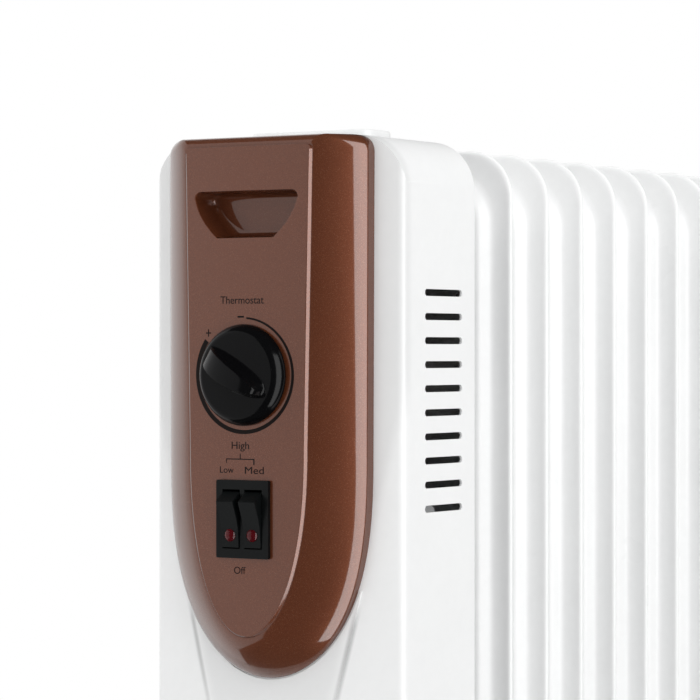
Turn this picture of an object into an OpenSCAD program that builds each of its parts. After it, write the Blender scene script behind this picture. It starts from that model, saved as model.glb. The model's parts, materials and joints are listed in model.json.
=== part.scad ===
// Oil filled radiator heater on castors.
// Front (control panel) faces -Y, fins run along +Y, the floor is Z = 0.

/* [Radiator] */
// Number of fins
fin_count = 11; // [11]
// Distance from fin to fin
fin_pitch = 36; // [32:0.5:40]
// Width of a fin
fin_w = 140; // [130:1:150]
// Height of a fin
fin_h = 575; // [560:1:590]
// Height of the fins' lower edge above the floor
fin_z0 = 55; // [55]
// Corner radius of a fin
fin_r = 23; // [16:1:28]
// Width of the flat seam margin around the oil chamber
fin_margin = 13; // [10:0.5:15]
// Thickness of the oil chamber
chamber_t = 17.4; // [14:0.2:20]
// Sheet thickness of the fins
fin_sheet = 0.8; // [0.7:0.1:1.2]
// Outer radius of the oil collars between fins
hub_r = 21; // [20:0.5:21]

/* [Housing] */
// Width of the control housing
house_w = 137; // [134:1:144]
// Depth of the control housing
house_d = 71.4; // [66:0.2:72]
// Height of the housing's top face
house_top = 632.4; // [632.4]
// Height of the housing's lower edge
house_z0 = 62; // [58:1:64]
// Sheet thickness of the housing
sheet = 1.2; // [1:0.1:1.6]
// Radius of the housing's top corners
house_r = 24; // [18:1:30]
// Radius of the housing's front edges
edge_r = 4.4; // [3:0.2:6]
// Radius of the bowed front, seen from above
bow_r = 315; // [250:5:400]
// Number of vent slots on each side
vent_count = 10; // [6:1:12]
// Distance from slot to slot
vent_pitch = 11; // [9:0.5:12]
// Height of a vent slot
vent_h = 3.2; // [2.4:0.2:4]
// Height of the top cap above the housing
cap_h = 5.2; // [5.2]

/* [Control panel] */
// Half width of the panel's rim
rim_w = 54.2; // [52:0.1:56]
// Depth of the panel, from the housing to its front
panel_d = 18.6; // [18.6]
// Wall thickness of the panel
panel_t = 2.5; // [2:0.1:3]
// Half width of the raised inlay
inlay_w = 31; // [30:0.5:33]
// Thickness of the raised inlay
inlay_t = 1.4; // [1.4]
// Depth of the grip recess
grip_d = 15; // [10:0.5:15]

/* [Controls] */
// Diameter of the thermostat knob's skirt
knob_d = 45.8; // [42:0.2:48]
// Height of the knob's centre
knob_z = 523; // [521:0.5:525]
// Direction of the knob's pointer, clockwise from straight up
knob_rest = 120; // [0:1:300]
// Height of the switch's centre
switch_z = 457.4; // [457:0.2:458]
// Width of the switch bezel
bezel_w = 28.4; // [28:0.1:29]
// Height of the switch bezel
bezel_h = 35.6; // [35:0.1:37]

/* [Feet] */
// Half the distance between the castor stems
stem_x = 100; // [95:1:105]
// Castor wheel radius
wheel_r = 20; // [20]
// Distance from a castor's stem to its wheel axle
trail = 14; // [12:0.5:15]

/* [Hidden] */
$fn = 96;
house_back = -33.6;
house_front = house_back - house_d;
panel_y = house_front - panel_d;
face_y = panel_y - inlay_t;
bezel_y = face_y - 1.8;
knob_front = face_y - 16;
plug_back = fin_pitch * (fin_count - 1) + 14;
y_mid = (knob_front + plug_back) / 2;
chamber_w = fin_w - 2 * fin_margin;
chamber_z0 = fin_z0 + fin_margin - 0.5;
chamber_z1 = fin_z0 + fin_h - fin_margin + 0.5;
hub_lo = chamber_z0 + 25;
hub_hi = chamber_z1 - 25;
bore_r = hub_r - 1.5;
leg = 7.2;
foot_y = [fin_pitch / 2, fin_pitch * (fin_count - 1.5)];
plate_z = 64;
grip_top = 606.9;
grip_bot = 585.6;
pivot_y = bezel_y + 4.5;
well_h = 27;
tilt = [-32, -72, 98];

// ---- placing helpers ----

// the row's origin is the middle of the whole length
module rf() translate([0, -y_mid, 0]) children();

// profile in X and Z, extruded from y0 to y1
module ex(y0, y1) translate([0, y1, 0]) rotate([90, 0, 0]) linear_extrude(y1 - y0) children();

// profile in Y and Z, extruded from x0 to x1
module exx(x0, x1) translate([x0, 0, 0]) rotate([90, 0, 90]) linear_extrude(x1 - x0) children();

// round bar along Y
module cy(y0, y1, r, x = 0, z = 0) translate([x, y1, z]) rotate([90, 0, 0]) cylinder(h = y1 - y0, r = r);

// round bar along X
module cx(x0, x1, r, y = 0, z = 0) translate([x0, y, z]) rotate([0, 90, 0]) cylinder(h = x1 - x0, r = r);

// rounded rectangle from (x0, y0) to (x1, y1)
module rr(x0, y0, x1, y1, r) {
    translate([x0 + r, y0]) square([x1 - x0 - 2 * r, y1 - y0]);
    translate([x0, y0 + r]) square([x1 - x0, y1 - y0 - 2 * r]);
    for (x = [x0 + r, x1 - r], y = [y0 + r, y1 - r]) translate([x, y]) circle(r);
}

module box(a, b) translate(a) cube(b - a);

// ---- radiator ----

module fin_outline() rr(-fin_w / 2, fin_z0, fin_w / 2, fin_z0 + fin_h, fin_r);

// ring of oil channels around the flat centre web
module channels(d) difference() {
    rr(-chamber_w / 2 + d, chamber_z0 + d, chamber_w / 2 - d, chamber_z1 - d, fin_r - d);
    rr(-16 - d, hub_lo + 42 - d, 16 + d, hub_hi - 42 + d, 12 + d);
}

module fin(i) {
    y = i * fin_pitch;
    half = fin_pitch / 2;
    first = i == 0;
    last = i == fin_count - 1;
    color("white") rf() translate([0, y, 0]) difference() {
        union() {
            ex(-0.6, 0.6) fin_outline();
            ex(-chamber_t / 2, chamber_t / 2) channels(0);
            cy(-half, last ? 0 : half, hub_r, 0, hub_hi);
            cy(first ? -34 : -half, last ? 0 : half, hub_r, 0, hub_lo);
            if (last) cy(0, 11, 11, 0, hub_hi);
        }
        ex(-chamber_t / 2 + fin_sheet, chamber_t / 2 - fin_sheet) channels(fin_sheet);
        cy(first ? -half + 1.5 : -half - 1, last ? 2 : half + 1, bore_r, 0, hub_hi);
        cy(first ? -35 : -half - 1, last ? 2 : half + 1, bore_r, 0, hub_lo);
        if (last) cy(0, 12, 5, 0, hub_hi);
    }
}
module fin_01() fin(0);
module fin_02() fin(1);
module fin_03() fin(2);
module fin_04() fin(3);
module fin_05() fin(4);
module fin_06() fin(5);
module fin_07() fin(6);
module fin_08() fin(7);
module fin_09() fin(8);
module fin_10() fin(9);
module fin_11() fin(10);

// hairpin: two straight legs and a bend, lying in the lower oil channel
module hairpin(dz) {
    far = fin_pitch * (fin_count - 2);
    for (x = [-leg, leg]) {
        cy(-46, far, 4, x, hub_lo + dz);
        cy(-40, -38, 5.5, x, hub_lo + dz);
    }
    translate([0, far, hub_lo + dz]) rotate_extrude(angle = 180) translate([leg, 0]) circle(4);
}
module heating_element_low() color("dimgray") rf() hairpin(leg);
module heating_element_med() color("dimgray") rf() hairpin(-leg);

module element_flange() color("silver") rf() difference() {
    union() {
        cy(-38, -34, 23, 0, hub_lo);
        cy(-34, -24, bore_r - 0.05, 0, hub_lo);
    }
    for (x = [-leg, leg], z = [-leg, leg]) cy(-39, -23, 4.05, x, hub_lo + z);
}

module element_terminals() color("goldenrod") rf()
    for (x = [-leg, leg], z = [-leg, leg]) {
        cy(-54, -46, 2, x, hub_lo + z);
        box([x - 3.1, -62, hub_lo + z - 0.4], [x + 3.1, -53, hub_lo + z + 0.4]);
    }

module oil_fill_plug() color("silver") rf() translate([0, fin_pitch * (fin_count - 1), 0]) {
    difference() {
        cy(11, 14, 9, 0, hub_hi);
        ex(12, 15) translate([-4, hub_hi - 0.8]) square([8, 1.6]);
    }
    cy(6, 11.5, 4.95, 0, hub_hi);
}

// ---- housing ----

// outline of the housing seen from the front, d inside its outer face
module house_front_2d(d, z0) {
    w = house_w / 2 - d;
    r = house_r - d;
    translate([-w, z0]) square([2 * w, house_top - d - r - z0]);
    translate([-w + r, z0]) square([2 * (w - r), house_top - d - z0]);
    for (s = [-1, 1]) translate([s * (w - r), house_top - d - r]) circle(r);
}

// how far the bowed front falls back at a distance u from the middle
function bow(u) = bow_r - sqrt(bow_r * bow_r - u * u);

// outline of the housing seen from above: a bowed front with small round edges
function plan(d, yb) =
    let (w = house_w / 2 - d, r = edge_r - d, rb = bow_r - d, cu = w - r,
         cv = house_front + bow_r - sqrt((rb - r) * (rb - r) - cu * cu), a = asin(cu / (rb - r)))
    concat([for (i = [-10 : 10]) let (t = a * i / 10) [rb * sin(t), house_front + bow_r - rb * cos(t)]],
           [for (i = [1 : 6]) let (t = a + (90 - a) * i / 6) [cu + r * sin(t), cv - r * cos(t)]],
           [[w, yb], [-w, yb]],
           [for (i = [6 : -1 : 1]) let (t = a + (90 - a) * i / 6) [-cu - r * sin(t), cv - r * cos(t)]]);

module house_top_2d(d, yb) polygon(plan(d, yb));

// outline of the housing seen from the side
module house_side_2d(d, yb, z0) {
    f = house_front + d;
    t = house_top - d;
    r = 6 - d;
    translate([f, z0]) square([yb - f, t - r - z0]);
    translate([f + r, z0]) square([yb - f - r, t - z0]);
    translate([f + r, t - r]) circle(r);
}

module house_block(d, yb, z0) intersection() {
    ex(house_front - 1, yb) house_front_2d(d, z0);
    translate([0, 0, z0 - 1]) linear_extrude(house_top - z0 + 2) house_top_2d(d, yb);
    exx(-house_w, house_w) house_side_2d(d, yb, z0);
}

module vent_slots_2d() for (i = [0 : vent_count - 1]) {
    z = 560.7 - i * vent_pitch;
    rr(-79.1, z - vent_h / 2, -45.4, z + vent_h / 2, vent_h / 2 - 0.01);
}

screw_at = [[-64, 110], [64, 110], [-64, 330], [64, 330], [-64, 560], [64, 560]];
boss_at = [[-38, 598], [38, 598], [-34, 450], [34, 450]];

// pressed tongue in the front sheet, tapering below the panel
module emboss_2d() difference() {
    union() {
        polygon([[-48.5, 425], [48.5, 425], [14, 291.2], [-14, 291.2]]);
        translate([0, 294.8]) circle(14.45);
    }
    polygon(tongue(1, 0.8));
}

module housing_cover() color("white") rf() difference() {
    union() {
        house_block(0, house_back, house_z0);
        intersection() {
            ex(house_front - 2, house_front + 4) emboss_2d();
            translate([0, 0, 270]) linear_extrude(170) house_top_2d(-0.6, house_back);
        }
    }
    house_block(sheet, house_back - sheet, house_z0 - 1);
    // the back is open inside a folded lip
    ex(house_back - sheet - 0.5, house_back + 1)
        translate([-house_w / 2 + 10, house_z0 - 1]) square([house_w - 20, house_top - house_z0 - 9]);
    // vent slots
    exx(-house_w, house_w) vent_slots_2d();
    // opening behind the control panel
    ex(house_front - 2, house_front + sheet + 3) rr(-30, 428, 30, 572, 5);
    for (p = screw_at) cy(house_back - 3, house_back + 1, 1.75, p[0], p[1]);
    for (p = boss_at) cy(house_front - 1, house_front + 8, 1.6, p[0], p[1]);
}

module back_plate() color("gainsboro") rf() difference() {
    ex(house_back - 2 * sheet, house_back - sheet) intersection() {
        house_front_2d(sheet + 0.5, plate_z + 1.5);
        translate([-house_w, plate_z + 1.5]) square([2 * house_w, house_top]);
    }
    cy(house_back - 4, house_back, 25, 0, hub_lo);
    for (p = screw_at) cy(house_back - 4, house_back, 1.75, p[0], p[1]);
    for (x = [-30, 30], z = [240 : 24 : 456])
        ex(house_back - 4, house_back) rr(x - 18, z, x + 18, z + 5, 2.4);
}

module back_plate_spacers() color("silver") rf() {
    cy(house_back - sheet, -fin_pitch / 2, 13, 0, hub_hi);
    for (x = [-38, 38]) cy(house_back - sheet, -chamber_t / 2, 6, x, 170);
}

module housing_bottom() color("gainsboro") rf() difference() {
    intersection() {
        translate([0, 0, plate_z]) linear_extrude(sheet) house_top_2d(sheet + 0.3, house_back - sheet - 0.1);
        box([-house_w, house_front, 0], [house_w, house_back - sheet - 0.1, 100]);
    }
    translate([40, -72, plate_z - 1]) cylinder(h = 4, r = 6.6);
    for (i = [0 : 4]) translate([0, 0, plate_z - 1]) linear_extrude(4) rr(-8 + i * 8, -96, -5 + i * 8, -52, 1.4);
}

module top_cap() color("white") rf() translate([0, 0, house_top]) {
    linear_extrude(cap_h - 1) rr(-33.5, -73, 33.5, -47, 7);
    linear_extrude(cap_h) rr(-32.3, -71.8, 32.3, -48.2, 5.8);
}

module cover_screws() color("silver") rf() {
    for (p = screw_at) {
        cy(house_back, house_back + 1.6, 3.4, p[0], p[1]);
        cy(house_back - 7, house_back + 0.5, 1.6, p[0], p[1]);
    }
    for (p = boss_at) {
        head = house_front + bow(p[0] + (p[0] > 0 ? 3 : -3)) + sheet;
        cy(head, head + 1.8, 3, p[0], p[1]);
        cy(house_front - 8, head + 0.5, 1.3, p[0], p[1]);
    }
}

// ---- control panel ----

// Half outline of the tongue at ratio k: 1 is the rim, 0 is the inlay's edge.
// g grows it outwards.
function edge(z, k, g) =
    let (zs = 490, zb = (1 - k) * 403 + k * 383.5 - g,
         w = (1 - k) * inlay_w + k * rim_w + g,
         n = (1 - k) * 2.3 + k * 2.8,
         t = min(1, max(0, (zs - z) / (zs - zb))),
         taper = max(0, z - zs) * ((1 - k) * 0.0214 + k * 0.0135))
    (w + taper) * sqrt(max(0, 1 - pow(t, n)));

// closed outline, with small rounded shoulders at the top
function tongue(k, g) =
    let (zt = house_top - 0.4 + g, zb = (1 - k) * 403 + k * 383.5 - g,
         rc = 2 + 3 * k,
         up = [for (a = [0 : 30 : 90]) let (z = zt - rc + rc * sin(a)) [edge(z, k, g) - rc + rc * cos(a), z]],
         side = [for (s = [1 : -0.125 : 0]) let (z = 490 + (zt - rc - 490) * s * 0.96) [edge(z, k, g), z]],
         low = [for (a = [6 : 6 : 90]) let (z = 490 - (490 - zb) * pow(sin(a), 0.9)) [edge(z, k, g), z]],
         right = concat([for (i = [len(up) - 1 : -1 : 0]) up[i]], side, low))
    concat(right, [for (i = [len(right) - 2 : -1 : 0]) [-right[i][0], right[i][1]]]);

// domed body of the panel: the rim turns into the flat face along a flattened quarter ellipse
module dome(g, d, y_open) hull() for (a = [0 : 15 : 90])
    let (y = house_front - d * pow(sin(a), 1.5))
        ex(a == 0 ? y - 0.6 : y, a == 0 ? y_open : y + 0.02) polygon(tongue(pow(cos(a), 1.5), g));

function grip(g) = concat(
    [for (t = [0 : 0.1 : 1]) [15.3 + 12.7 * (1 - t * t) + g, grip_top + g - (grip_top - grip_bot + 2 * g) * t]],
    [for (t = [1 : -0.1 : 0]) [-15.3 - 12.7 * (1 - t * t) - g, grip_top + g - (grip_top - grip_bot + 2 * g) * t]]);

module switch_hole_2d(g) translate([0, switch_z]) square([bezel_w - 2.4 + g, bezel_h - 2.4 + g], center = true);

module control_panel() color([0.55, 0.33, 0.26]) rf() difference() {
    union() {
        difference() {
            dome(0, panel_d, house_front + 6);
            dome(-panel_t, panel_d - panel_t, house_front + 7);
            // the back follows the bowed front of the housing
            house_block(0, house_back, house_z0);
        }
        // pocket behind the grip recess
        ex(panel_y + 0.5, panel_y + grip_d + 2) polygon(grip(2));
        // boss for the thermostat bush
        cy(panel_y + 1, face_y + 8, 9, 0, knob_z);
        for (p = boss_at) cy(house_front - 14.8, house_front, 3.4, p[0], p[1]);
    }
    ex(panel_y - 5, panel_y + grip_d) polygon(grip(0));
    cy(face_y - 1, face_y + 9, 5.3, 0, knob_z);
    ex(panel_y - 2, panel_y + 8) switch_hole_2d(0);
    for (p = boss_at) cy(house_front - 9, house_front + 1, 1.35, p[0], p[1]);
}

module panel_inlay() color([0.62, 0.42, 0.36]) rf() difference() {
    ex(face_y, panel_y) polygon(tongue(0, -0.4));
    ex(face_y - 1, panel_y + 1) polygon(grip(0.3));
    cy(face_y - 1, panel_y + 1, 5.3, 0, knob_z);
    ex(face_y - 1, panel_y + 1) switch_hole_2d(0);
}

// ---- thermostat ----

// closed outline from half widths along its length
function leaf(p) = concat(
    [for (i = [0 : len(p) - 1]) [-p[i][1], p[i][0]]], [for (i = [len(p) - 1 : -1 : 0]) [p[i][1], p[i][0]]]);

module thermostat_knob() color([0.06, 0.06, 0.06]) rf() translate([0, face_y, knob_z]) difference() {
    union() {
        rotate([90, 0, 0]) rotate_extrude() polygon([
            [0, 0.4], [knob_d / 2 - 0.6, 0.4], [knob_d / 2, 1], [knob_d / 2 - 0.5, 2.8],
            [knob_d / 2 - 1.6, 4.8], [knob_d / 2 - 3, 6.2], [19.2, 6.8], [18.8, 6.9], [0, 6.9]]);
        // leaf-shaped grip across the face, on a wider foot
        rotate([0, knob_rest, 0]) {
            ex(-10, -6.5) polygon(leaf([[-18.6, 4.4], [-12, 7.4], [-4, 8.6], [4, 8.2], [10, 6.7], [14, 4.8], [17.2, 2.6], [18.6, 0.8]]));
            ex(-13, -9.5) polygon(leaf([[-18.6, 4], [-12, 5.4], [-4, 5.8], [4, 5.4], [10, 4.5], [14, 3.4], [17, 1.9]]));
            ex(-16, -12.5) polygon(leaf([[-15, 3.9], [-12, 4.2], [-4, 4.4], [4, 4], [10, 3.3], [12.5, 2.8]]));
        }
    }
    // room for the nut, and the bore for the shaft with its flat
    cy(-4.2, 1, 11, 0, 0);
    difference() {
        cy(-13, 1, 3.03, 0, 0);
        box([-5, -14, 2.15], [5, -4.6, 5]);
    }
}

module thermostat_shaft() color("silver") rf() translate([0, face_y, knob_z]) difference() {
    cy(-12.6, 13.6, 3, 0, 0);
    box([-5, -14, 2.1], [5, -4.4, 5]);
}

module thermostat_bush() color("goldenrod") rf() translate([0, face_y, knob_z]) difference() {
    cy(-3.2, 8, 5, 0, 0);
    cy(-4, 9, 3.05, 0, 0);
}

module thermostat_nut() color("silver") rf() translate([0, face_y, knob_z]) difference() {
    rotate([90, 0, 0]) cylinder(h = 2.8, r = 8, $fn = 6);
    cy(-4, 1, 5.05, 0, 0);
}

module thermostat_body() color("ivory") rf() translate([0, face_y, knob_z]) difference() {
    union() {
        box([-11, 8, -14], [11, 16, 14]);
        box([-11, 16, -14], [11, 30, -9]);
        box([-11, 16, 9], [11, 30, 14]);
    }
    cy(7, 17, 3.05, 0, 0);
}

module bimetal_strip() color("goldenrod") rf() translate([0, face_y, knob_z]) {
    box([-4, 18, -8.9], [4, 18.8, 8.9]);
    box([-4, 16, 8.2], [4, 30, 9]);
    cy(18.8, 20.6, 2, 0, -5);
}

// ---- switch ----

module switch_frame() color([0.05, 0.05, 0.05]) rf() difference() {
    union() {
        ex(bezel_y, face_y) translate([-bezel_w / 2, switch_z - bezel_h / 2]) rr(0, 0, bezel_w, bezel_h, 0.8);
        ex(face_y, face_y + 20) translate([0, switch_z]) square([bezel_w - 2.6, bezel_h - 2.6], center = true);
    }
    for (x = [-6, 6]) ex(bezel_y - 1, face_y + 13) translate([x, switch_z]) square([9.6, well_h], center = true);
    cx(-12.2, 12.2, 1.28, pivot_y, switch_z);
}

// side profile of a rocker at rest: the lower half lies in, the upper half stands out
module rocker(x) rf() translate([x, 0, 0]) difference() {
    union() {
        exx(-4.5, 4.5) translate([bezel_y, switch_z]) polygon([
            [-0.6, -12.9], [-0.8, -9], [-1.3, -4], [-2.4, 0], [-4, 4], [-5.4, 7.2], [-5.6, 8], [-5, 8.8],
            [0.5, 12.5], [5.5, 12.2], [8, 8], [8, -8], [5.5, -12.6]]);
        cx(-5.6, 5.6, 1.2, pivot_y, switch_z);
    }
    cy(bezel_y - 3, bezel_y + 2, 2.53, 0, switch_z - 7.2);
}
module rocker_left() color([0.07, 0.07, 0.07]) rocker(-6);
module rocker_right() color([0.07, 0.07, 0.07]) rocker(6);

module lens(x) rf() intersection() {
    cy(bezel_y - 2.6, bezel_y + 2, 2.5, x, switch_z - 7.2);
    translate([x, bezel_y + 2, switch_z - 7.2]) sphere(4.2);
}
module lamp_lens_left() color([0.6, 0.05, 0.05]) lens(-6);
module lamp_lens_right() color([0.6, 0.05, 0.05]) lens(6);

module neon_lamps() color("orange") rf() for (x = [-6, 6])
    cy(face_y + 9, face_y + 13, 2, x, switch_z - 7.2);

module switch_terminals() color("goldenrod") rf() for (x = [-6, 6], z = [-9, 0, 9])
    box([x - 3.1, face_y + 20, switch_z + z - 0.4], [x + 3.1, face_y + 29, switch_z + z + 0.4]);

// ---- safety parts and wiring inside the housing ----

module tilt_switch_frame() color("ivory") rf() difference() {
    union() {
        box([tilt[0] - 15, tilt[1] - 12, plate_z + sheet], [tilt[0] + 15, tilt[1] + 15, plate_z + sheet + 3]);
        for (x = [-14, 11]) box([tilt[0] + x, tilt[1] - 9, plate_z + sheet], [tilt[0] + x + 3, tilt[1] + 9, tilt[2] + 5]);
        box([tilt[0] - 14, tilt[1] + 13, plate_z + sheet], [tilt[0] + 14, tilt[1] + 15, tilt[2] + 5]);
        for (x = [-14, 11]) box([tilt[0] + x, tilt[1] + 8, plate_z + sheet], [tilt[0] + x + 3, tilt[1] + 14, tilt[2] + 5]);
    }
    cx(tilt[0] - 15, tilt[0] + 15, 1.56, tilt[1], tilt[2]);
}

module tilt_pendulum() color("silver") rf() {
    cx(tilt[0] - 13.5, tilt[0] + 13.5, 1.5, tilt[1], tilt[2]);
    box([tilt[0] - 3, tilt[1] - 1.5, tilt[2] - 20], [tilt[0] + 3, tilt[1] + 1.5, tilt[2]]);
    cx(tilt[0] - 8, tilt[0] + 8, 5.5, tilt[1], tilt[2] - 20);
}

module thermal_cutout() color("ivory") rf() {
    cy(house_back - 2 * sheet - 8, house_back - 2 * sheet, 9, 0, 520);
    for (x = [-5, 5]) box([x - 3.1, house_back - 2 * sheet - 16, 519.6], [x + 3.1, house_back - 2 * sheet - 7, 520.4]);
    box([-13, house_back - 2 * sheet - 1, 515], [13, house_back - 2 * sheet, 525]);
}

module terminal_block() color("ivory") rf() difference() {
    box([-24, house_back - 2 * sheet - 14, 190], [24, house_back - 2 * sheet, 208]);
    for (x = [-16, 0, 16]) {
        translate([x, house_back - 2 * sheet - 7, 189]) cylinder(h = 20, r = 2.6);
        cy(house_back - 2 * sheet - 15, house_back - 2 * sheet - 7, 2.2, x, 199);
    }
}

module cord_gland() color([0.1, 0.1, 0.1]) rf() translate([40, -72, 0]) difference() {
    union() {
        translate([0, 0, plate_z - 4]) cylinder(h = 4, r = 10);
        translate([0, 0, plate_z - 4]) cylinder(h = 18, r = 6.5);
        translate([0, 0, plate_z + sheet]) cylinder(h = 3, r = 9);
    }
    translate([0, 0, plate_z - 5]) cylinder(h = 30, r = 3.9);
}

// point at t between p[i] and p[i + 1] on a smooth curve through all points of p
function smooth(p, i, t) =
    let (n = len(p) - 1, a = p[max(0, i - 1)], b = p[i], c = p[min(n, i + 1)], d = p[min(n, i + 2)],
         m = (c - a) / 2, k = (d - b) / 2)
    (2 * t * t * t - 3 * t * t + 1) * b + (t * t * t - 2 * t * t + t) * m
    + (3 * t * t - 2 * t * t * t) * c + (t * t * t - t * t) * k;

function unit(v) = v / norm(v);

// insulated wire: an eight-sided tube swept along the curve
module wire(p, r = 1.3) {
    q = concat([for (i = [0 : len(p) - 2], j = [0 : 3]) smooth(p, i, j / 4)], [p[len(p) - 1]]);
    m = len(q);
    pts = [for (i = [0 : m - 1])
        let (t = unit(i == 0 ? p[1] - p[0] : i == m - 1 ? p[len(p) - 1] - p[len(p) - 2] : q[i + 1] - q[i - 1]), n = unit(cross(t, [0.81, 0.47, 0.35])), b = cross(t, n))
        for (a = [0 : 45 : 315]) q[i] + r * (cos(a) * n + sin(a) * b)];
    polyhedron(pts, concat(
        [[for (k = [0 : 7]) k]],
        [for (i = [0 : m - 2], k = [0 : 7]) [i * 8 + k, (i + 1) * 8 + k, (i + 1) * 8 + (k + 1) % 8]],
        [for (i = [0 : m - 2], k = [0 : 7]) [i * 8 + k, (i + 1) * 8 + (k + 1) % 8, i * 8 + (k + 1) % 8]],
        [[for (k = [7 : -1 : 0]) (m - 1) * 8 + k]]));
}

module internal_wires() rf() {
    y0 = face_y + 29;
    yt = house_back - 2 * sheet - 7.6;
    color("crimson") wire([[-6, y0, switch_z + 9], [-6, y0 + 10, switch_z + 9], [-40, -72, 400], [-40, -72, 260], [-16, -62, 228], [-16, yt, 214], [-16, yt, 201]]);
    color("navy") wire([[leg, -62, hub_lo + leg], [leg, -68, hub_lo + leg], [5, -74, 140], [0, -64, 165], [0, yt, 181], [0, yt, 195]]);
    color("black") wire([[-6, y0, switch_z - 9], [-6, y0 + 8, switch_z - 9], [-52, -86, 400], [-52, -86, 200], [-10, -84, 128], [-leg, -72, hub_lo + leg], [-leg, -62, hub_lo + leg]]);
    color("black") wire([[6, y0, switch_z - 9], [6, y0 + 8, switch_z - 9], [52, -86, 400], [52, -86, 200], [14, -84, 120], [leg, -72, hub_lo - leg], [leg, -62, hub_lo - leg]]);
    color("green") wire([[5, house_back - 2 * sheet - 16, 520], [5, -62, 520], [30, -66, 490], [40, -66, 400], [40, -66, 260], [16, -60, 228], [16, yt, 214], [16, yt, 201]]);
}

// ---- feet ----

module foot(i) color("white") rf() translate([0, foot_y[i], 0]) difference() {
    union() {
        translate([0, 0, fin_z0 - 1.5]) linear_extrude(1.5) rr(-stem_x - 15, -17, stem_x + 15, 17, 14);
        for (y = [-17, 15.5]) box([-72, y, fin_z0 - 10], [72, y + 1.5, fin_z0]);
    }
    for (x = [-23.9, 23.9]) translate([x, 0, 40]) cylinder(h = 20, r = 2.7);
    for (x = [-stem_x, stem_x]) translate([x, 0, 40]) cylinder(h = 20, r = 4.08);
}
module foot_front() foot(0);
module foot_rear() foot(1);

module u_bolts() color("silver") rf() for (y = foot_y) translate([0, y, hub_lo]) {
    rotate([90, 0, 0]) rotate_extrude(angle = 180) translate([23.9, 0]) circle(2.5);
    for (x = [-23.9, 23.9]) translate([x, 0, 42 - hub_lo]) cylinder(h = hub_lo - 42, r = 2.5);
}

module wing_nuts() color("silver") rf() for (y = foot_y, x = [-23.9, 23.9]) translate([x, y, fin_z0 - 8]) difference() {
    union() {
        cylinder(h = 6.5, r = 5);
        ex(-1.2, 1.2) {
            polygon([[-4, 5.5], [-9, 4], [-14, -3], [-13, -7], [-9, -6], [-4, 1]]);
            polygon([[4, 1], [9, -6], [13, -7], [14, -3], [9, 4], [4, 5.5]]);
        }
    }
    translate([0, 0, -10]) cylinder(h = 20, r = 2.55);
}

// castor: s picks the side, i the foot
module at_castor(s, i) rf() translate([s * stem_x, foot_y[i], 0]) children();

module castor_fork(s, i) color([0.08, 0.08, 0.08]) at_castor(s, i) difference() {
    union() {
        // web between the wheels
        exx(-4, 4) translate([-trail, wheel_r]) {
            intersection() {
                circle(wheel_r + 2.5);
                translate([-30, 2]) square([60, 30]);
            }
            circle(8);
            translate([-8, 0]) square([16, 6]);
        }
        // curved guard over both wheels
        exx(-17.5, 17.5) translate([-trail, wheel_r]) intersection() {
            difference() {
                circle(wheel_r + 3.5);
                circle(wheel_r + 1.5);
            }
            translate([-30, 4]) square([60, 30]);
        }
        translate([0, 0, 40.5]) cylinder(h = fin_z0 - 1.8 - 40.5, r = 8);
        exx(-4, 4) polygon([[-trail, 30], [0, 32], [8, 41], [8, 43], [-trail, 43]]);
        translate([0, 0, 44]) cylinder(h = fin_z0 + 3 - 44, r = 4);
        translate([0, 0, fin_z0 + 0.3]) cylinder(h = 1.6, r = 5.5);
    }
    cx(-5, 5, 2.05, -trail, wheel_r);
}
module castor_fl_fork() castor_fork(-1, 0);
module castor_fr_fork() castor_fork(1, 0);
module castor_rl_fork() castor_fork(-1, 1);
module castor_rr_fork() castor_fork(1, 1);

module castor_axle(s, i) color("silver") at_castor(s, i) cx(-15, 15, 2, -trail, wheel_r);
module castor_fl_axle() castor_axle(-1, 0);
module castor_fr_axle() castor_axle(1, 0);
module castor_rl_axle() castor_axle(-1, 1);
module castor_rr_axle() castor_axle(1, 1);

module wheel_half() rotate_extrude() polygon([
    [2.02, 0], [6, 0], [7, 1.6], [14, 1.6], [15, 0], [wheel_r - 1, 0], [wheel_r, 1], [wheel_r, 10],
    [wheel_r - 1.8, 11.6], [15, 11.8], [13.5, 9.4], [6, 9.4], [5, 10.8], [2.02, 10.8]]);

module castor_wheels(s, i) color([0.12, 0.12, 0.12]) at_castor(s, i) translate([0, -trail, wheel_r]) {
    translate([5.2, 0, 0]) rotate([0, 90, 0]) wheel_half();
    translate([-5.2, 0, 0]) rotate([0, -90, 0]) wheel_half();
}
module castor_fl_wheels() castor_wheels(-1, 0);
module castor_fr_wheels() castor_wheels(1, 0);
module castor_rl_wheels() castor_wheels(-1, 1);
module castor_rr_wheels() castor_wheels(1, 1);

fin_01();
fin_02();
fin_03();
fin_04();
fin_05();
fin_06();
fin_07();
fin_08();
fin_09();
fin_10();
fin_11();
heating_element_low();
heating_element_med();
element_flange();
element_terminals();
oil_fill_plug();
back_plate();
back_plate_spacers();
housing_cover();
housing_bottom();
top_cap();
cover_screws();
control_panel();
panel_inlay();
thermostat_knob();
thermostat_shaft();
thermostat_bush();
thermostat_nut();
thermostat_body();
bimetal_strip();
switch_frame();
rocker_left();
rocker_right();
lamp_lens_left();
lamp_lens_right();
neon_lamps();
switch_terminals();
tilt_switch_frame();
tilt_pendulum();
thermal_cutout();
terminal_block();
cord_gland();
internal_wires();
foot_front();
foot_rear();
u_bolts();
wing_nuts();
castor_fl_fork();
castor_fr_fork();
castor_rl_fork();
castor_rr_fork();
castor_fl_axle();
castor_fr_axle();
castor_rl_axle();
castor_rr_axle();
castor_fl_wheels();
castor_fr_wheels();
castor_rl_wheels();
castor_rr_wheels();
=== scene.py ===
import json
import math

import bpy
from mathutils import Matrix, Vector


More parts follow.
